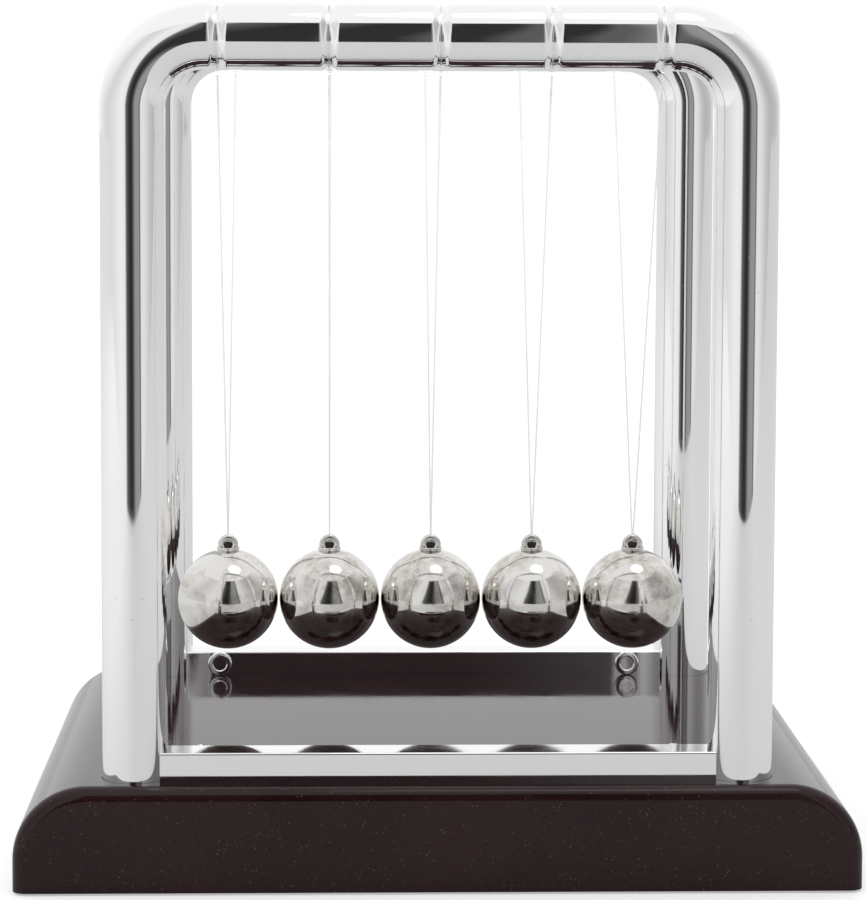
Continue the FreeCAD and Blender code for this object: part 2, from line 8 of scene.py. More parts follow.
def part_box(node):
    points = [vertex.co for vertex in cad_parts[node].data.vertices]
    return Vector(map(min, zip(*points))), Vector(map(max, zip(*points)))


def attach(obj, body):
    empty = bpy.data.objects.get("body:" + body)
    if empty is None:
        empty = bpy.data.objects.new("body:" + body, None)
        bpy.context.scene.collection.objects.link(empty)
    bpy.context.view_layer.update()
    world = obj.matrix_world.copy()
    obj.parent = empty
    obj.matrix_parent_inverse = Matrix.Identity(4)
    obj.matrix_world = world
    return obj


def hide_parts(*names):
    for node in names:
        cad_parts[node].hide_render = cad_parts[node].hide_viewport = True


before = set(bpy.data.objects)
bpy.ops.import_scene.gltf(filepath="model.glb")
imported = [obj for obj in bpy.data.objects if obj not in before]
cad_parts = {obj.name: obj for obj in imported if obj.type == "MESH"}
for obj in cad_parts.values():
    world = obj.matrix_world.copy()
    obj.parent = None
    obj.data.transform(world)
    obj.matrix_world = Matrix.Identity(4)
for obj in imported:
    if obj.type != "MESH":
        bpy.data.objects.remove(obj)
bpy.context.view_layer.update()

MM = 0.001
BALLS = range(1, 6)
ENDS = {"front": -1, "rear": 1}
SIDES = {"left": -1, "right": 1}

# Sizes that the frame does not give, in metres.
GROOVE_WIDTH = 3.4 * MM
GROOVE_DEPTH = 0.55 * MM
GROOVE_SHOULDER = 1.2 * MM
TUBE_WALL = 1.6 * MM
BEND_RADIUS = 11.6 * MM
SIDE_ROUND = 12.2 * MM
END_ROUND = 2.4 * MM
SHELL_WALL = 2.6 * MM
SOCKET_GAP = 0.1 * MM
SOCKET_DEPTH = 8.0 * MM
EYE_WIRE = 1.2 * MM
EYE_HOLE = 1.3 * MM
COLLAR_HEIGHT = 0.7 * MM
COLLAR_LIP = 0.22 * MM
COLLAR_DISH = 0.1 * MM
BAR_EDGE = 0.35 * MM
BOSS_DIAMETER = 4.6 * MM
BOSS_SPACING = 79.0 * MM
BOSS_ROOT = 1.0 * MM
BOSS_LIP = 0.25 * MM
BOSS_DISH = 0.12 * MM
WELD_DISTANCE = 1e-7

# The rim and the floor of a boss's dish, as shares of the boss's radius.
BOSS_RIM = 0.62
BOSS_FLOOR = 0.55
# A collar's height above its ball, as a share of COLLAR_HEIGHT, and its dish, as a share of its radius.
COLLAR_CROWN = 0.9
COLLAR_RIM = 0.62
# The resin drop's half width, half height and place below the ring's middle, as shares of the eye's hole.
SEAL_WIDTH = 0.53
SEAL_HEIGHT = 0.50
SEAL_DROP = 0.05
# The resin drop's half depth, as a share of the wire's radius.
SEAL_DEPTH = 0.5

# How many sides a round shape has, and how many steps run along a shape.
TUBE_SIDES = 96
BALL_SIDES = 144
COLLAR_SIDES = 64
RING_SIDES = 64
WIRE_SIDES = 32
SEAL_SIDES = 32
SEAL_STEPS = 16
BALL_STEPS = 96
POST_STEPS = 24
BEND_STEPS = 24
GROOVE_STEPS = 16
SIDE_ROUND_STEPS = 20
END_ROUND_STEPS = 10
LENGTH_STEPS = 8
EDGE_STEPS = 5
COLLAR_LIP_STEPS = 8

# Edges that turn by more than this stay sharp.
SHARP_DEGREES = 35
EYELET_SHARP_DEGREES = 50


# ---------------------------------------------------------------- mesh helpers


def new_object(name, bm, sharp_degrees=SHARP_DEGREES):
    """A shown object from a bmesh, smooth except at its sharp edges."""
    bmesh.ops.recalc_face_normals(bm, faces=bm.faces)
    mesh = bpy.data.meshes.new(name)
    bm.to_mesh(mesh)
    bm.free()
    mesh.polygons.foreach_set("use_smooth", [True] * len(mesh.polygons))
    mesh.set_sharp_from_angle(angle=math.radians(sharp_degrees))
    piece = bpy.data.objects.new(name, mesh)
    bpy.context.scene.collection.objects.link(piece)
    return piece


def apply_modifiers(piece):
    """Replace a piece's mesh with what its modifiers make of it."""
    graph = bpy.context.evaluated_depsgraph_get()
    mesh = bpy.data.meshes.new_from_object(piece.evaluated_get(graph))
    piece.modifiers.clear()
    piece.data = mesh


def shade_flats(piece):
    """Keep flat faces flat beside the rounds that run into them."""
    piece.data.set_sharp_from_angle(angle=math.radians(SHARP_DEGREES))
    weighted = piece.modifiers.new("flats", "WEIGHTED_NORMAL")
    weighted.mode = "FACE_AREA"
    weighted.weight = 100
    weighted.keep_sharp = True
    apply_modifiers(piece)


def skin_rings(bm, rings, closed=False):
    """Quads between successive rings of vertices that have the same count."""
    pairs = zip(rings, rings[1:] + rings[:1]) if closed else zip(rings, rings[1:])
    for ring, following in pairs:
        count = len(ring)
        for n in range(count):
            after = (n + 1) % count
            bm.faces.new((ring[n], ring[after], following[after], following[n]))


def lathe(bm, profile, centre, axis="z", sides=TUBE_SIDES):
    """A closed turned solid from (radius, height) points. The first and last points are on the axis."""
    rings = []
    for radius, height in profile[1:-1]:
        ring = []
        for n in range(sides):
            turn = 2 * math.pi * n / sides
            across, up = radius * math.cos(turn), radius * math.sin(turn)
            spot = (across, up, height) if axis == "z" else (across, height, up)
            ring.append(bm.verts.new(Vector(centre) + Vector(spot)))
        rings.append(ring)
    skin_rings(bm, rings)
    for (_, height), ring in ((profile[0], rings[0]), (profile[-1], rings[-1])):
        tip = (0, 0, height) if axis == "z" else (0, height, 0)
        top = bm.verts.new(Vector(centre) + Vector(tip))
        for n in range(sides):
            bm.faces.new((top, ring[n], ring[(n + 1) % sides]))


def arc_points(centre, radius, start, end, steps):
    """Points (a, b) along an arc, from and to angles in degrees."""
    turns = [math.radians(start + (end - start) * n / steps) for n in range(steps + 1)]
    return [(centre[0] + radius * math.cos(t), centre[1] + radius * math.sin(t)) for t in turns]


def add_torus(bm, centre, ring_radius, wire_radius):
    """A ring of round wire that faces front and back."""
    rings = []
    for n in range(RING_SIDES):
        turn = 2 * math.pi * n / RING_SIDES
        out = Vector((math.cos(turn), 0, math.sin(turn)))
        ring = []
        for k in range(WIRE_SIDES):
            roll = 2 * math.pi * k / WIRE_SIDES
            reach = ring_radius + wire_radius * math.cos(roll)
            depth = wire_radius * math.sin(roll)
            ring.append(bm.verts.new(Vector(centre) + out * reach + Vector((0, depth, 0))))
        rings.append(ring)
    skin_rings(bm, rings, closed=True)


# ------------------------------------------------------------------- materials


class Material:
    """A node material whose nodes are added by short calls."""

    def __init__(self, name, color, metallic, roughness):
        self.material = bpy.data.materials.new(name)
        self.material.use_nodes = True
        self.tree = self.material.node_tree
        self.shader = self.tree.nodes["Principled BSDF"]
        self.set("Base Color", (*color, 1))
        self.set("Metallic", metallic)
        self.set("Roughness", roughness)
        self.place = self.tree.nodes.new("ShaderNodeTexCoord").outputs["Object"]

    def set(self, socket, value):
        """Give one of the shader's own sockets a value that is the same all over."""
        self.shader.inputs[socket].default_value = value

    def link(self, output, socket):
        """Join one node's output to another node's input."""
        self.tree.links.new(output, socket)

    def noise(self, scale, detail=3.0, rough=0.5, stretch=None, distortion=0.0):
        """Noise in object space. Its scale is in features per metre."""
        node = self.tree.nodes.new("ShaderNodeTexNoise")
        node.inputs["Scale"].default_value = scale
        node.inputs["Detail"].default_value = detail
        node.inputs["Roughness"].default_value = rough
        node.inputs["Distortion"].default_value = distortion
        self.link(self.stretched(stretch), node.inputs["Vector"])
        return node.outputs["Fac"]

    def stretched(self, stretch):
        """Object space, scaled along X, Y and Z where a stretch is given."""
        if stretch is None:
            return self.place
        node = self.tree.nodes.new("ShaderNodeMapping")
        node.inputs["Scale"].default_value = stretch
        self.link(self.place, node.inputs["Vector"])
        return node.outputs["Vector"]

    def cells(self, scale):
        """The distance to the nearest of many scattered points."""
        node = self.tree.nodes.new("ShaderNodeTexVoronoi")
        node.inputs["Scale"].default_value = scale
        self.link(self.place, node.inputs["Vector"])
        return node.outputs["Distance"]

    def ramp(self, value, low, high, start=0.0, end=1.0):
        """A value mapped from low and high to start and end, and held at its ends."""
        node = self.tree.nodes.new("ShaderNodeMapRange")
        node.inputs["From Min"].default_value = low
        node.inputs["From Max"].default_value = high
        node.inputs["To Min"].default_value = start
        node.inputs["To Max"].default_value = end
        self.link(value, node.inputs["Value"])
        return node.outputs["Result"]

    def mix(self, share, first, second):
        """Two colours, mixed by a share that varies over the surface."""
        node = self.tree.nodes.new("ShaderNodeMix")
        node.data_type = "RGBA"
        colors = [socket for socket in node.inputs if socket.type == "RGBA"]
        for socket, color in zip(colors, (first, second)):
            if isinstance(color, tuple):
                socket.default_value = (*color, 1)
            else:
                self.link(color, socket)
        self.link(share, node.inputs["Factor"])
        return next(socket for socket in node.outputs if socket.type == "RGBA")

    def combine(self, operation, first, second):
        """Two values joined by a Math node's operation."""
        node = self.tree.nodes.new("ShaderNodeMath")
        node.operation = operation
        for socket, value in zip(node.inputs, (first, second)):
            if isinstance(value, (int, float)):
                socket.default_value = value
            else:
                self.link(value, socket)
        return node.outputs["Value"]

    def bump(self, height, depth, strength, after=None):
        """Surface relief, on top of another where one is given. Its depth is its full height in metres."""
        node = self.tree.nodes.new("ShaderNodeBump")
        node.inputs["Strength"].default_value = strength
        node.inputs["Distance"].default_value = depth
        self.link(height, node.inputs["Height"])
        if after is not None:
            self.link(after, node.inputs["Normal"])
        return node.outputs["Normal"]

    def finish(self, color=None, roughness=None, normal=None):
        """Link what varies over the surface to the shader, and give the finished material."""
        wanted = (("Base Color", color), ("Roughness", roughness), ("Normal", normal))
        for socket, output in wanted:
            if output is not None:
                self.link(output, self.shader.inputs[socket])
        return self.material


def chrome(name, haze):
    """Bright plating: a slow waviness, faint haze and a few tiny pits."""
    plating, pit_color = (0.93, 0.93, 0.94), (0.16, 0.15, 0.15)
    clean, pit_roughness = 0.03, 0.3
    m = Material(name, plating, 1.0, 0.04)
    dots = m.ramp(m.cells(620), 0.03, 0.07, 1.0, 0.0)
    few = m.ramp(m.noise(90, 2), 0.60, 0.64)
    pits = m.combine("MULTIPLY", dots, few)
    color = m.mix(pits, plating, pit_color)
    smears = m.noise(55, 5, 0.6, stretch=(1, 1, 0.35), distortion=0.4)
    smears = m.ramp(smears, 0.45, 0.75, clean, clean + haze)
    roughness = m.combine("ADD", smears, m.combine("MULTIPLY", pits, pit_roughness))
    waves = m.bump(m.noise(70, 1), 0.06 * MM, 0.35)
    # a negative depth sinks the pits
    normal = m.bump(pits, -0.03 * MM, 0.6, waves)
    return m.finish(color, roughness, normal)


def polished_steel(name, base):
    """A ball bearing's finish: fingerprints, faint rub marks and warm stains."""
    stain_tint = (0.58, 0.54, 0.49)
    stained = tuple(channel * tint for channel, tint in zip(base, stain_tint))
    m = Material(name, base, 1.0, 0.08)
    patches = m.ramp(m.noise(125, 3, 0.6, distortion=0.8), 0.42, 0.58, 0.0, 0.9)
    mottle = m.ramp(m.noise(520, 5, 0.75), 0.38, 0.62)
    color = m.mix(m.combine("MULTIPLY", patches, mottle), base, stained)
    prints = m.noise(240, 6, 0.65, stretch=(1, 1, 1.8), distortion=1.2)
    roughness = m.ramp(prints, 0.42, 0.70, 0.035, 0.15)
    rubs = m.noise(1800, 3, 0.6, stretch=(1, 0.12, 1))
    return m.finish(color, roughness, m.bump(rubs, 0.004 * MM, 0.4))


def base_plastic():
    """Very dark brown moulding with fine light specks and a slight orange peel."""
    dark, warm = (0.017, 0.0054, 0.0067), (0.025, 0.0083, 0.0101)
    dust_color, speck_color = (0.060, 0.034, 0.036), (0.115, 0.085, 0.082)
    m = Material("base_plastic", dark, 0.0, 0.14)
    m.set("Specular IOR Level", 0.27)
    ground = m.mix(m.ramp(m.noise(60, 4), 0.35, 0.65), dark, warm)
    dots = m.ramp(m.cells(1500), 0.10, 0.22, 1.0, 0.0)
    few = m.ramp(m.noise(700, 1), 0.53, 0.62)
    specks = m.combine("MULTIPLY", dots, few)
    dust = m.ramp(m.noise(2300, 2), 0.60, 0.78, 0.0, 0.5)
    color = m.mix(specks, m.mix(dust, ground, dust_color), speck_color)
    roughness = m.ramp(m.noise(120, 5, 0.6), 0.35, 0.70, 0.05, 0.10)
    orange_peel = m.bump(m.noise(900, 2), 0.01 * MM, 0.5)
    return m.finish(color, roughness, orange_peel)


def matt_plastic():
    """Black moulding with a fine grain, for the bottom cover and the post plugs."""
    dark, pale = (0.016, 0.015, 0.015), (0.03, 0.028, 0.028)
    m = Material("cover_plastic", (0.02, 0.019, 0.019), 0.0, 0.55)
    grain = m.noise(2600, 3)
    color = m.mix(m.ramp(m.noise(90, 3), 0.4, 0.7), dark, pale)
    return m.finish(color, m.ramp(grain, 0.3, 0.7, 0.45, 0.65), m.bump(grain, 0.03 * MM, 0.6))


def rubber():
    """Dull black rubber with a fine grain, for the foot pads."""
    dark, pale = (0.022, 0.022, 0.023), (0.05, 0.049, 0.048)
    m = Material("pad_rubber", (0.03, 0.03, 0.031), 0.0, 0.8)
    grain = m.noise(3400, 4)
    color = m.mix(m.ramp(m.noise(400, 4), 0.4, 0.7), dark, pale)
    return m.finish(color, m.ramp(grain, 0.3, 0.7, 0.7, 0.92), m.bump(grain, 0.05 * MM, 0.7))


def plain_steel(name, color, streak):
    """Zinc-plated or cut steel with fine lines along one direction."""
    line_shade = 0.8
    darker = tuple(line_shade * channel for channel in color)
    m = Material(name, color, 1.0, 0.35)
    lines = m.noise(900, 4, 0.6, stretch=streak)
    tint = m.mix(m.ramp(lines, 0.3, 0.7), color, darker)
    return m.finish(tint, m.ramp(lines, 0.3, 0.7, 0.25, 0.45), m.bump(lines, 0.01 * MM, 0.5))


def dark_seal():
    """A drop of dark resin."""
    dark, pale = (0.012, 0.011, 0.010), (0.05, 0.044, 0.038)
    m = Material("eye_seal", (0.02, 0.018, 0.017), 0.0, 0.3)
    cloud = m.noise(2200, 3)
    color = m.mix(m.ramp(cloud, 0.4, 0.7), dark, pale)
    return m.finish(color, m.ramp(cloud, 0.3, 0.7, 0.25, 0.5), m.bump(cloud, 0.04 * MM, 0.5))


def nylon():
    """Clear monofilament with a faint cloudiness."""
    m = Material("nylon_thread", (0.97, 0.97, 0.98), 0.0, 0.12)
    m.set("Transmission Weight", 1.0)
    m.set("IOR", 1.16)
    m.set("Specular IOR Level", 0.3)
    m.set("Alpha", 0.6)
    return m.finish(roughness=m.ramp(m.noise(500, 2), 0.4, 0.7, 0.08, 0.25))


# ---------------------------------------------------------------------- pieces


def put(piece, material, body, node):
    """Give a piece its material and its body, and hide its CAD node where it has one."""
    piece.data.materials.clear()
    piece.data.materials.append(material)
    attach(piece, body)
    if node:
        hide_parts(node)


def ball_place(number):
    """A ball's centre and radius, from its CAD solid."""
    low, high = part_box(f"ball_{number}")
    radius = (high[1] - low[1]) / 2
    return Vector(((low[0] + high[0]) / 2, (low[1] + high[1]) / 2, low[2] + radius)), radius


def post_place(end):
    """How far an arch's posts stand to each side, where they stand along Y, and their radius."""
    low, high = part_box(f"{end}_arch")
    radius = (high[1] - low[1]) / 2
    return (high[0] - low[0]) / 2 - radius, (high[1] + low[1]) / 2, radius


def groove_shape():
    """A groove's half width, its hollow's radius, and how far from its middle hollow and shoulder meet."""
    half_width = GROOVE_WIDTH / 2
    hollow = (half_width**2 / GROOVE_DEPTH + GROOVE_DEPTH) / 2 - GROOVE_SHOULDER
    share = hollow / (hollow + GROOVE_SHOULDER)
    return half_width, hollow, half_width * share


def groove_drop(distance):
    """How far the rail's surface is below its full radius, at a distance from a groove's middle."""
    half_width, hollow, tangent = groove_shape()
    distance = abs(distance)
    if distance >= half_width:
        return 0.0
    if distance <= tangent:
        return GROOVE_DEPTH - (hollow - math.sqrt(hollow**2 - distance**2))
    inward = half_width - distance
    return GROOVE_SHOULDER - math.sqrt(GROOVE_SHOULDER**2 - inward**2)


def bend_station(centre_x, centre_z, turn):
    """A place on a bend's centreline, at an angle about the bend's centre."""
    out_x, out_z = math.cos(turn), math.sin(turn)
    return centre_x + BEND_RADIUS * out_x, centre_z + BEND_RADIUS * out_z, out_x, out_z, 0.0


def arch_stations(low, high, tube_radius):
    """Places along an arch's centreline: x, z, the outward direction's x and z, and the drop there."""
    half = (high[0] - low[0]) / 2 - tube_radius
    middle = (high[0] + low[0]) / 2
    left, right = middle - half, middle + half
    rail = high[2] - tube_radius
    bend_z = rail - BEND_RADIUS
    centres = [ball_place(number)[0].x for number in BALLS]
    stations = []
    for n in range(POST_STEPS):
        z = low[2] + (bend_z - low[2]) * n / POST_STEPS
        stations.append((left, z, -1.0, 0.0, 0.0))
    for n in range(BEND_STEPS):
        turn = math.pi * (1 - n / BEND_STEPS / 2)
        stations.append(bend_station(left + BEND_RADIUS, bend_z, turn))
    xs = [left + BEND_RADIUS]
    for centre in centres:
        for n in range(-GROOVE_STEPS, GROOVE_STEPS + 1):
            xs.append(centre + GROOVE_WIDTH / 2 * n / GROOVE_STEPS)
    xs.append(right - BEND_RADIUS)
    for x in xs:
        drop = max(groove_drop(x - centre) for centre in centres)
        stations.append((x, rail, 0.0, 1.0, drop))
    for n in range(1, BEND_STEPS + 1):
        turn = math.pi / 2 * (1 - n / BEND_STEPS)
        stations.append(bend_station(right - BEND_RADIUS, bend_z, turn))
    for n in range(1, POST_STEPS + 1):
        z = bend_z + (low[2] - bend_z) * n / POST_STEPS
        stations.append((right, z, 1.0, 0.0, 0.0))
    return stations


def make_arch(end, material):
    """A chrome tube arch, smooth round every bend and groove."""
    node = f"{end}_arch"
    low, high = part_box(node)
    _, y, tube_radius = post_place(end)
    bm = bmesh.new()
    outer, inner = [], []
    for x, z, out_x, out_z, drop in arch_stations(low, high, tube_radius):
        for rings, radius in ((outer, tube_radius - drop), (inner, tube_radius - TUBE_WALL)):
            ring = []
            for n in range(TUBE_SIDES):
                turn = 2 * math.pi * n / TUBE_SIDES
                reach, side = radius * math.cos(turn), radius * math.sin(turn)
                ring.append(bm.verts.new((x + out_x * reach, y + side, z + out_z * reach)))
            rings.append(ring)
    skin_rings(bm, outer)
    skin_rings(bm, inner)
    for first, second in ((outer[0], inner[0]), (outer[-1], inner[-1])):
        skin_rings(bm, [first, second])
    put(new_object(f"{end}_arch_tube", bm), material, "stand", node)


def make_crossbar(end, material):
    """A bright bar with softened edges, its ends fitted to the posts, with two round bosses."""
    node = f"{end}_crossbar"
    low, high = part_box(node)
    post_x, post_y, tube_radius = post_place(end)
    inward = -ENDS[end]
    plain_face, boss_face = (high[1], low[1]) if inward < 0 else (low[1], high[1])
    half_depth = abs(plain_face - post_y)
    bottom, top = low[2], high[2]
    outline = [(-half_depth, bottom), (half_depth, bottom)]
    outline += arc_points((half_depth - BAR_EDGE, top - BAR_EDGE), BAR_EDGE, 0, 90, EDGE_STEPS)
    outline += arc_points((-half_depth + BAR_EDGE, top - BAR_EDGE), BAR_EDGE, 90, 180, EDGE_STEPS)
    bm = bmesh.new()
    ends = []
    for side in SIDES.values():
        ring = []
        for depth, z in outline:
            reach = post_x - math.sqrt(tube_radius**2 - depth**2)
            ring.append(bm.verts.new((side * reach, post_y + depth, z)))
        ends.append(ring)
    skin_rings(bm, ends)
    for ring in ends:
        bm.faces.new(ring)
    bar = new_object(f"{end}_bar", bm)
    shade_flats(bar)
    put(bar, material, "stand", node)
    face = post_y + inward * half_depth
    for name, side in SIDES.items():
        centre = (side * BOSS_SPACING / 2, face, bottom + BOSS_DIAMETER / 2)
        boss = new_boss(f"{end}_bar_boss_{name}", centre, inward, abs(boss_face - face))
        put(boss, material, "stand", None)


def new_boss(name, centre, inward, proud):
    """A round boss, proud of its bar's face, with a rounded lip and a shallow dish."""
    radius = BOSS_DIAMETER / 2
    floor = proud - BOSS_DISH
    profile = [(0, -BOSS_ROOT), (radius, -BOSS_ROOT), (radius, proud - BOSS_LIP)]
    profile += arc_points((radius - BOSS_LIP, proud - BOSS_LIP), BOSS_LIP, 0, 90, EDGE_STEPS)
    profile += [(radius * BOSS_RIM, proud), (radius * BOSS_FLOOR, floor), (0, floor)]
    bm = bmesh.new()
    lathe(bm, [(reach, inward * depth) for reach, depth in profile], centre, axis="y")
    return new_object(name, bm)


def slab_outline(half_width, bottom, top, inset):
    """The base's end-on outline, taken in by an inset, from the bottom left round to the bottom right."""
    radius = SIDE_ROUND - inset
    right = half_width - inset
    crest = top - inset
    points = [(-right, bottom)]
    points += arc_points((-right + radius, crest - radius), radius, 180, 90, SIDE_ROUND_STEPS)
    points += arc_points((right - radius, crest - radius), radius, 90, 0, SIDE_ROUND_STEPS)
    points += [(right, bottom)]
    return points


def base_rows(front, rear):
    """Places along Y from front to rear, and how far the base's outline is taken in at each."""
    rounds = []
    for n in range(END_ROUND_STEPS + 1):
        turn = math.pi / 2 * n / END_ROUND_STEPS
        rounds.append((END_ROUND * (1 - math.cos(turn)), END_ROUND * (1 - math.sin(turn))))
    straight = rear - front - 2 * END_ROUND
    rows = [(front + into, inset) for into, inset in rounds]
    for n in range(1, LENGTH_STEPS):
        rows.append((front + END_ROUND + straight * n / LENGTH_STEPS, 0.0))
    rows += [(rear - into, inset) for into, inset in reversed(rounds)]
    return rows


def close_underside(bm, rings, low, high):
    """The rim that runs round under the base, and the recess that the cover closes."""
    rim = [ring[0] for ring in rings] + [ring[-1] for ring in reversed(rings)]
    inner_x = (high[0] - low[0]) / 2 - SHELL_WALL
    inner_y = (high[1] - low[1]) / 2 - SHELL_WALL
    middle_y = (low[1] + high[1]) / 2
    lower, upper = [], []
    for vert in rim:
        x = max(-inner_x, min(inner_x, vert.co.x))
        y = max(middle_y - inner_y, min(middle_y + inner_y, vert.co.y))
        lower.append(bm.verts.new((x, y, low[2])))
        upper.append(bm.verts.new((x, y, low[2] + SHELL_WALL)))
    skin_rings(bm, [rim, lower])
    skin_rings(bm, [lower, upper])
    bm.faces.new(upper)


def cut_sockets(shell, top):
    """Cut the four holes that the posts stand in."""
    depth = SOCKET_DEPTH / 2
    bm = bmesh.new()
    for end in ENDS:
        post_x, post_y, tube_radius = post_place(end)
        radius = tube_radius + SOCKET_GAP
        profile = [(0, -depth), (radius, -depth), (radius, depth), (0, depth)]
        for side in SIDES.values():
            lathe(bm, profile, (side * post_x, post_y, top))
    tool = new_object("socket_tool", bm)
    boolean = shell.modifiers.new("sockets", "BOOLEAN")
    boolean.object = tool
    boolean.solver = "EXACT"
    apply_modifiers(shell)
    bpy.data.objects.remove(tool)


def make_base(material):
    """The moulded base, with its quarter-round sides, softened ends and post sockets."""
    low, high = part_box("base_shell")
    half_width, bottom, top = (high[0] - low[0]) / 2, low[2], high[2]
    bm = bmesh.new()
    rings = []
    for y, inset in base_rows(low[1], high[1]):
        outline = slab_outline(half_width, bottom, top, inset)
        rings.append([bm.verts.new((x, y, z)) for x, z in outline])
    for ring, following in zip(rings, rings[1:]):
        for n in range(len(ring) - 1):
            bm.faces.new((ring[n], ring[n + 1], following[n + 1], following[n]))
    for ring in (rings[0], rings[-1]):
        bm.faces.new(ring)
    close_underside(bm, rings, low, high)
    bmesh.ops.remove_doubles(bm, verts=bm.verts, dist=WELD_DISTANCE)
    bmesh.ops.dissolve_degenerate(bm, edges=bm.edges, dist=WELD_DISTANCE)
    shell = new_object("base_moulding", bm)
    cut_sockets(shell, top)
    shade_flats(shell)
    put(shell, material, "stand", "base_shell")


def make_ball(number, material):
    """A polished ball, faced flat at the top where its eyelet's collar sits."""
    node = f"ball_{number}"
    centre, radius = ball_place(number)
    seat_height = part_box(node)[1][2] - centre.z
    seat_angle = math.degrees(math.asin(seat_height / radius))
    profile = arc_points((0, 0), radius, -90, seat_angle, BALL_STEPS)
    profile = [(0, -radius)] + profile[1:] + [(0, seat_height)]
    bm = bmesh.new()
    lathe(bm, profile, centre, sides=BALL_SIDES)
    piece = new_object(f"steel_ball_{number}", bm)
    put(piece, material, f"pendulum_{number}", node)


def ring_place(number):
    """The middle of an eyelet's ring, whose wire reaches the eyelet's highest point."""
    centre = ball_place(number)[0]
    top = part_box(f"eyelet_{number}")[1][2]
    return Vector((centre.x, centre.y, top - (EYE_HOLE + EYE_WIRE) / 2 - EYE_WIRE / 2))


def make_eyelet(number, material):
    """A ring that faces the front, set in a small collar."""
    node = f"eyelet_{number}"
    low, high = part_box(node)
    centre = ball_place(number)[0]
    ball_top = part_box(f"ball_{number}")[1][2]
    collar = (high[0] - low[0]) / 2
    neck = collar - COLLAR_LIP
    collar_top = ball_top + COLLAR_HEIGHT * COLLAR_CROWN
    base = ball_top - COLLAR_HEIGHT / 2
    floor = collar_top - COLLAR_DISH
    profile = [(0, base), (neck, base), (neck, ball_top)]
    profile += arc_points((neck, collar_top - COLLAR_LIP), COLLAR_LIP, -60, 90, COLLAR_LIP_STEPS)
    profile += [(collar * COLLAR_RIM, floor), (0, floor)]
    bm = bmesh.new()
    lathe(bm, profile, (centre.x, centre.y, 0), sides=COLLAR_SIDES)
    add_torus(bm, ring_place(number), (EYE_HOLE + EYE_WIRE) / 2, EYE_WIRE / 2)
    piece = new_object(f"screw_eye_{number}", bm, EYELET_SHARP_DEGREES)
    put(piece, material, f"pendulum_{number}", node)


def make_seal(number, material):
    """The drop of resin in an eyelet's ring, which the thread is bedded in."""
    size = (EYE_HOLE * SEAL_WIDTH, EYE_WIRE / 2 * SEAL_DEPTH, EYE_HOLE * SEAL_HEIGHT, 1.0)
    centre = ring_place(number) - Vector((0, 0, EYE_HOLE * SEAL_DROP))
    bm = bmesh.new()
    bmesh.ops.create_uvsphere(bm, u_segments=SEAL_SIDES, v_segments=SEAL_STEPS, radius=1.0)
    bm.transform(Matrix.Diagonal(size))
    bm.transform(Matrix.Translation(centre))
    put(new_object(f"eye_seal_{number}", bm), material, f"pendulum_{number}", None)


def finish_cad_nodes(materials):
    """Give every CAD node that stays in sight its own material."""
    for name, material in materials.items():
        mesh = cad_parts[name].data
        mesh.materials.clear()
        mesh.materials.append(material)


# ----------------------------------------------------------------------- stage

CAMERA_PLACE = (-16.7 * MM, -562.7 * MM, 134.1 * MM)
CAMERA_LENS = 126.2
CAMERA_SENSOR = 36.0
CAMERA_SHIFT = -0.12
CAMERA_CLIP = (0.01, 100)
# The camera's pitch downwards, its yaw to the right and its roll, in degrees.
CAMERA_ANGLES = (4.85, 1.73, 0.21)

FLOOR_REACH = 6.0
FLOOR_NEAR = -0.48
FLOOR_MIDDLE = (0.69, 0.69, 0.685)
# painted light on the table: paler colours to the left and to the right
FLOOR_LEFT_PAINTED_LIGHT = (0.88, 0.88, 0.88)
FLOOR_RIGHT_PAINTED_LIGHT = (0.76, 0.76, 0.75)
FLOOR_GLOW = 0.45

# How bright the room is on each bearing, in degrees from the front, with the right positive.
BEARINGS = (
    (-180, 1.0),
    (-134, 0.88),
    (-95, 0.70),
    (-69, 0.77),
    (-40, 0.90),
    (-24, 0.85),
    (-18, 0.12),
    (-7, 0.03),
    (2, 0.03),
    (4, 0.11),
    (6, 0.10),
    (10, 0.28),
    (24, 0.32),
    (28, 0.10),
    (32, 0.80),
    (44, 0.78),
    (68, 0.56),
    (85, 0.48),
    (114, 0.54),
    (136, 0.70),
    (180, 1.0),
)
# The room is evenly bright overhead. It changes to that between these elevations, in degrees.
OVERHEAD = 0.97
OVERHEAD_EDGE = (48, 50)
# How the dark opening at the front leans to the right and narrows as it rises.
MOUTH_LEAN = 0.12
MOUTH_TAPER = 0.9
WHITE = (1, 1, 1, 1)

# Each light's name, place, size and power, and whether the chrome shows it.
LIGHTS = (
    ("top_box", (0.17, -0.16, 1.0), 0.40, 0.52, True),
    ("left_fill", (-0.95, -0.35, 0.75), 0.8, 2.0, False),
)
LIGHT_AIM = (0, 0, 0.07)

def make_camera():
    """A long lens, a little to the left, looking slightly down at the front."""
    camera = bpy.data.cameras.new("camera")
    camera.lens = CAMERA_LENS
    camera.sensor_width = CAMERA_SENSOR
    camera.shift_y = CAMERA_SHIFT
    camera.clip_start, camera.clip_end = CAMERA_CLIP
    holder = bpy.data.objects.new("camera", camera)
    bpy.context.scene.collection.objects.link(holder)
    holder.location = CAMERA_PLACE
    pitch, yaw, roll = (math.radians(angle) for angle in CAMERA_ANGLES)
    turn = Euler((math.radians(90) - pitch, 0, -yaw), "XYZ").to_matrix()
    spin = Euler((0, 0, roll), "XYZ").to_matrix()
    holder.rotation_euler = (turn @ spin).to_euler()
    bpy.context.scene.camera = holder


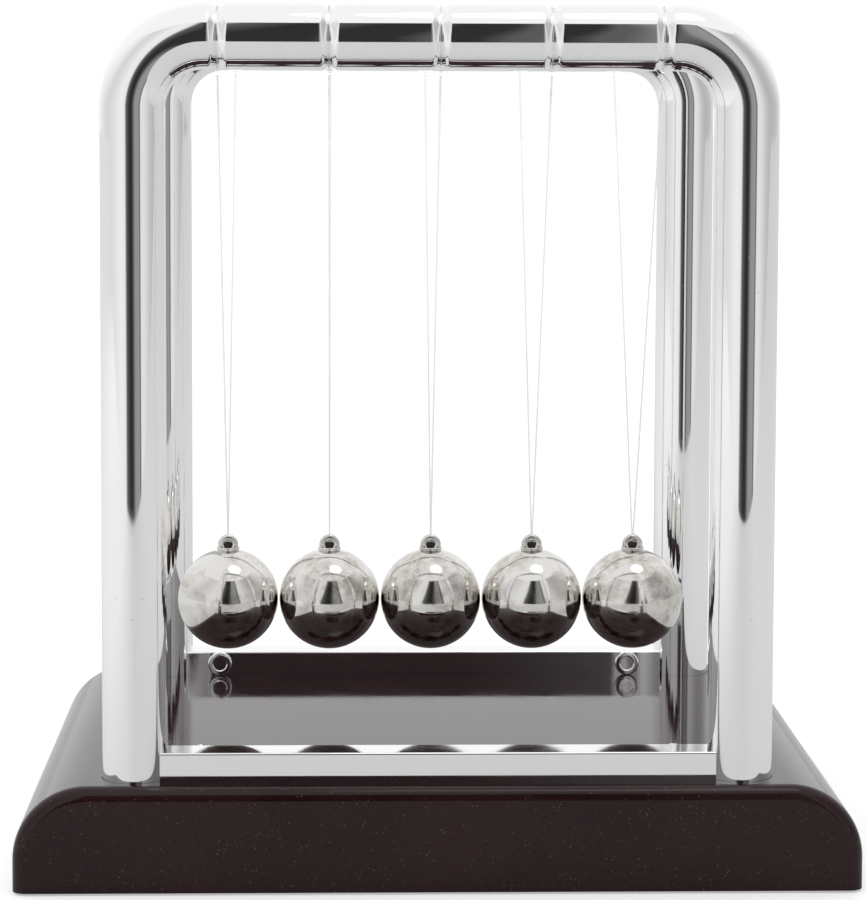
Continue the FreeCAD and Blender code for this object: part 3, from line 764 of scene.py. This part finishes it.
def make_floor():
    """A pale table whose near edge is close to the camera, its colour made paler to the left and right
    with painted light.
    """
    bm = bmesh.new()
    corners = (
        (-FLOOR_REACH, FLOOR_NEAR),
        (FLOOR_REACH, FLOOR_NEAR),
        (FLOOR_REACH, FLOOR_REACH),
        (-FLOOR_REACH, FLOOR_REACH),
    )
    bm.faces.new([bm.verts.new((x, y, 0)) for x, y in corners])
    floor = new_object("table", bm)
    m = Material("table", FLOOR_MIDDLE, 0.0, 0.7)
    split = m.tree.nodes.new("ShaderNodeSeparateXYZ")
    m.link(m.place, split.inputs["Vector"])
    # painted light: the table's colour is paler to the left, where the fill light is, and a little paler
    # to the right
    left = m.ramp(split.outputs["X"], -0.28, -0.04, 1.0, 0.0)
    right = m.ramp(split.outputs["X"], 0.06, 0.30)
    m.finish(m.mix(right, m.mix(left, FLOOR_MIDDLE, FLOOR_LEFT_PAINTED_LIGHT), FLOOR_RIGHT_PAINTED_LIGHT))
    # it burns out to white where it is seen directly, but not in the chrome
    seen = m.tree.nodes.new("ShaderNodeLightPath").outputs["Is Camera Ray"]
    m.set("Emission Color", WHITE)
    m.link(m.combine("MULTIPLY", seen, FLOOR_GLOW), m.shader.inputs["Emission Strength"])
    floor.data.materials.append(m.material)


def make_world():
    """A white tent, open and darker towards the front. Seen directly, it is plain white all over."""
    world = bpy.data.worlds.new("tent")
    bpy.context.scene.world = world
    world.use_nodes = True
    tree = world.node_tree
    tree.nodes.clear()
    add = tree.nodes.new

    def math_node(operation, *values):
        node = add("ShaderNodeMath")
        node.operation = operation
        for socket, value in zip(node.inputs, values):
            if isinstance(value, (int, float)):
                socket.default_value = value
            else:
                tree.links.new(value, socket)
        return node.outputs["Value"]

    def smooth_step(value, low, high):
        node = add("ShaderNodeMapRange")
        node.interpolation_type = "SMOOTHSTEP"
        node.inputs["From Min"].default_value = low
        node.inputs["From Max"].default_value = high
        tree.links.new(value, node.inputs["Value"])
        return node.outputs["Result"]

    def white_background(strength):
        node = add("ShaderNodeBackground")
        node.inputs["Color"].default_value = WHITE
        if isinstance(strength, float):
            node.inputs["Strength"].default_value = strength
        else:
            tree.links.new(strength, node.inputs["Strength"])
        return node.outputs["Background"]

    place = add("ShaderNodeTexCoord").outputs["Generated"]
    split = add("ShaderNodeSeparateXYZ")
    tree.links.new(place, split.inputs["Vector"])
    x, y, z = (split.outputs[name] for name in "XYZ")
    elevation = math_node("ARCSINE", z)
    climb = math_node("MAXIMUM", elevation, 0.0)
    # the bearing from the front, shifted so that the dark opening leans and narrows as it rises
    bearing = math_node("ARCTAN2", x, math_node("MULTIPLY", y, -1))
    bearing = math_node("SUBTRACT", bearing, math_node("MULTIPLY", climb, MOUTH_LEAN))
    bearing = math_node("MULTIPLY", bearing, math_node("MULTIPLY_ADD", climb, MOUTH_TAPER, 1.0))
    bearing = math_node("MULTIPLY_ADD", bearing, 1 / (2 * math.pi), 0.5)
    ring = add("ShaderNodeValToRGB")
    stops = ring.color_ramp.elements
    for _ in range(len(BEARINGS) - len(stops)):
        stops.new(0.5)
    for stop, (degrees, level) in zip(stops, BEARINGS):
        stop.position = degrees / 360 + 0.5
        stop.color = (level, level, level, 1)
    tree.links.new(bearing, ring.inputs["Fac"])
    overhead = smooth_step(elevation, *(math.radians(degrees) for degrees in OVERHEAD_EDGE))
    below = math_node("MULTIPLY", ring.outputs["Color"], math_node("SUBTRACT", 1.0, overhead))
    bright = math_node("ADD", below, math_node("MULTIPLY", overhead, OVERHEAD))
    seen = add("ShaderNodeLightPath").outputs["Is Camera Ray"]
    mix = add("ShaderNodeMixShader")
    tree.links.new(seen, mix.inputs["Fac"])
    tree.links.new(white_background(bright), mix.inputs[1])
    tree.links.new(white_background(1.0), mix.inputs[2])
    output = add("ShaderNodeOutputWorld")
    tree.links.new(mix.outputs["Shader"], output.inputs["Surface"])


def make_lights():
    """A small soft box overhead, and a broad fill from the left that the chrome does not show."""
    for name, place, size, power, mirrored in LIGHTS:
        light = bpy.data.lights.new(name, "AREA")
        light.shape = "DISK"
        light.size = size
        light.energy = power
        holder = bpy.data.objects.new(name, light)
        holder.location = place
        aim = Vector(LIGHT_AIM) - Vector(place)
        holder.rotation_euler = aim.to_track_quat("-Z", "Y").to_euler()
        holder.visible_glossy = mirrored
        bpy.context.scene.collection.objects.link(holder)


# ------------------------------------------------------------------------ main


def main():
    make_camera()
    make_world()
    make_floor()
    make_lights()
    bpy.context.scene.view_settings.view_transform = "Standard"

    tube, bar = chrome("chrome_tube", 0.05), chrome("chrome_bar", 0.09)
    steel = polished_steel("ball_steel", (0.77, 0.755, 0.73))
    eye = polished_steel("eyelet_steel", (0.70, 0.69, 0.67))
    seal = dark_seal()
    line = nylon()
    for end in ENDS:
        make_arch(end, tube)
        make_crossbar(end, bar)
    make_base(base_plastic())
    for number in BALLS:
        make_ball(number, steel)
        make_eyelet(number, eye)
        make_seal(number, seal)

    cover, pad = matt_plastic(), rubber()
    screw = plain_steel("screw_steel", (0.62, 0.62, 0.64), (1, 1, 0.2))
    ballast = plain_steel("ballast_steel", (0.42, 0.42, 0.43), (0.15, 1, 1))
    finishes = {"bottom_cover": cover, "ballast_plate": ballast}
    for screws in ("cover_screws", "ballast_screws", "arch_screws", "crossbar_screws"):
        finishes[screws] = screw
    for end in ENDS:
        finishes[f"{end}_thread_loops"] = line
        for side in SIDES:
            finishes[f"foot_pad_{end}_{side}"] = pad
            finishes[f"post_plug_{end}_{side}"] = cover
    for number in BALLS:
        finishes[f"string_{number}"] = line
    finish_cad_nodes(finishes)


main()
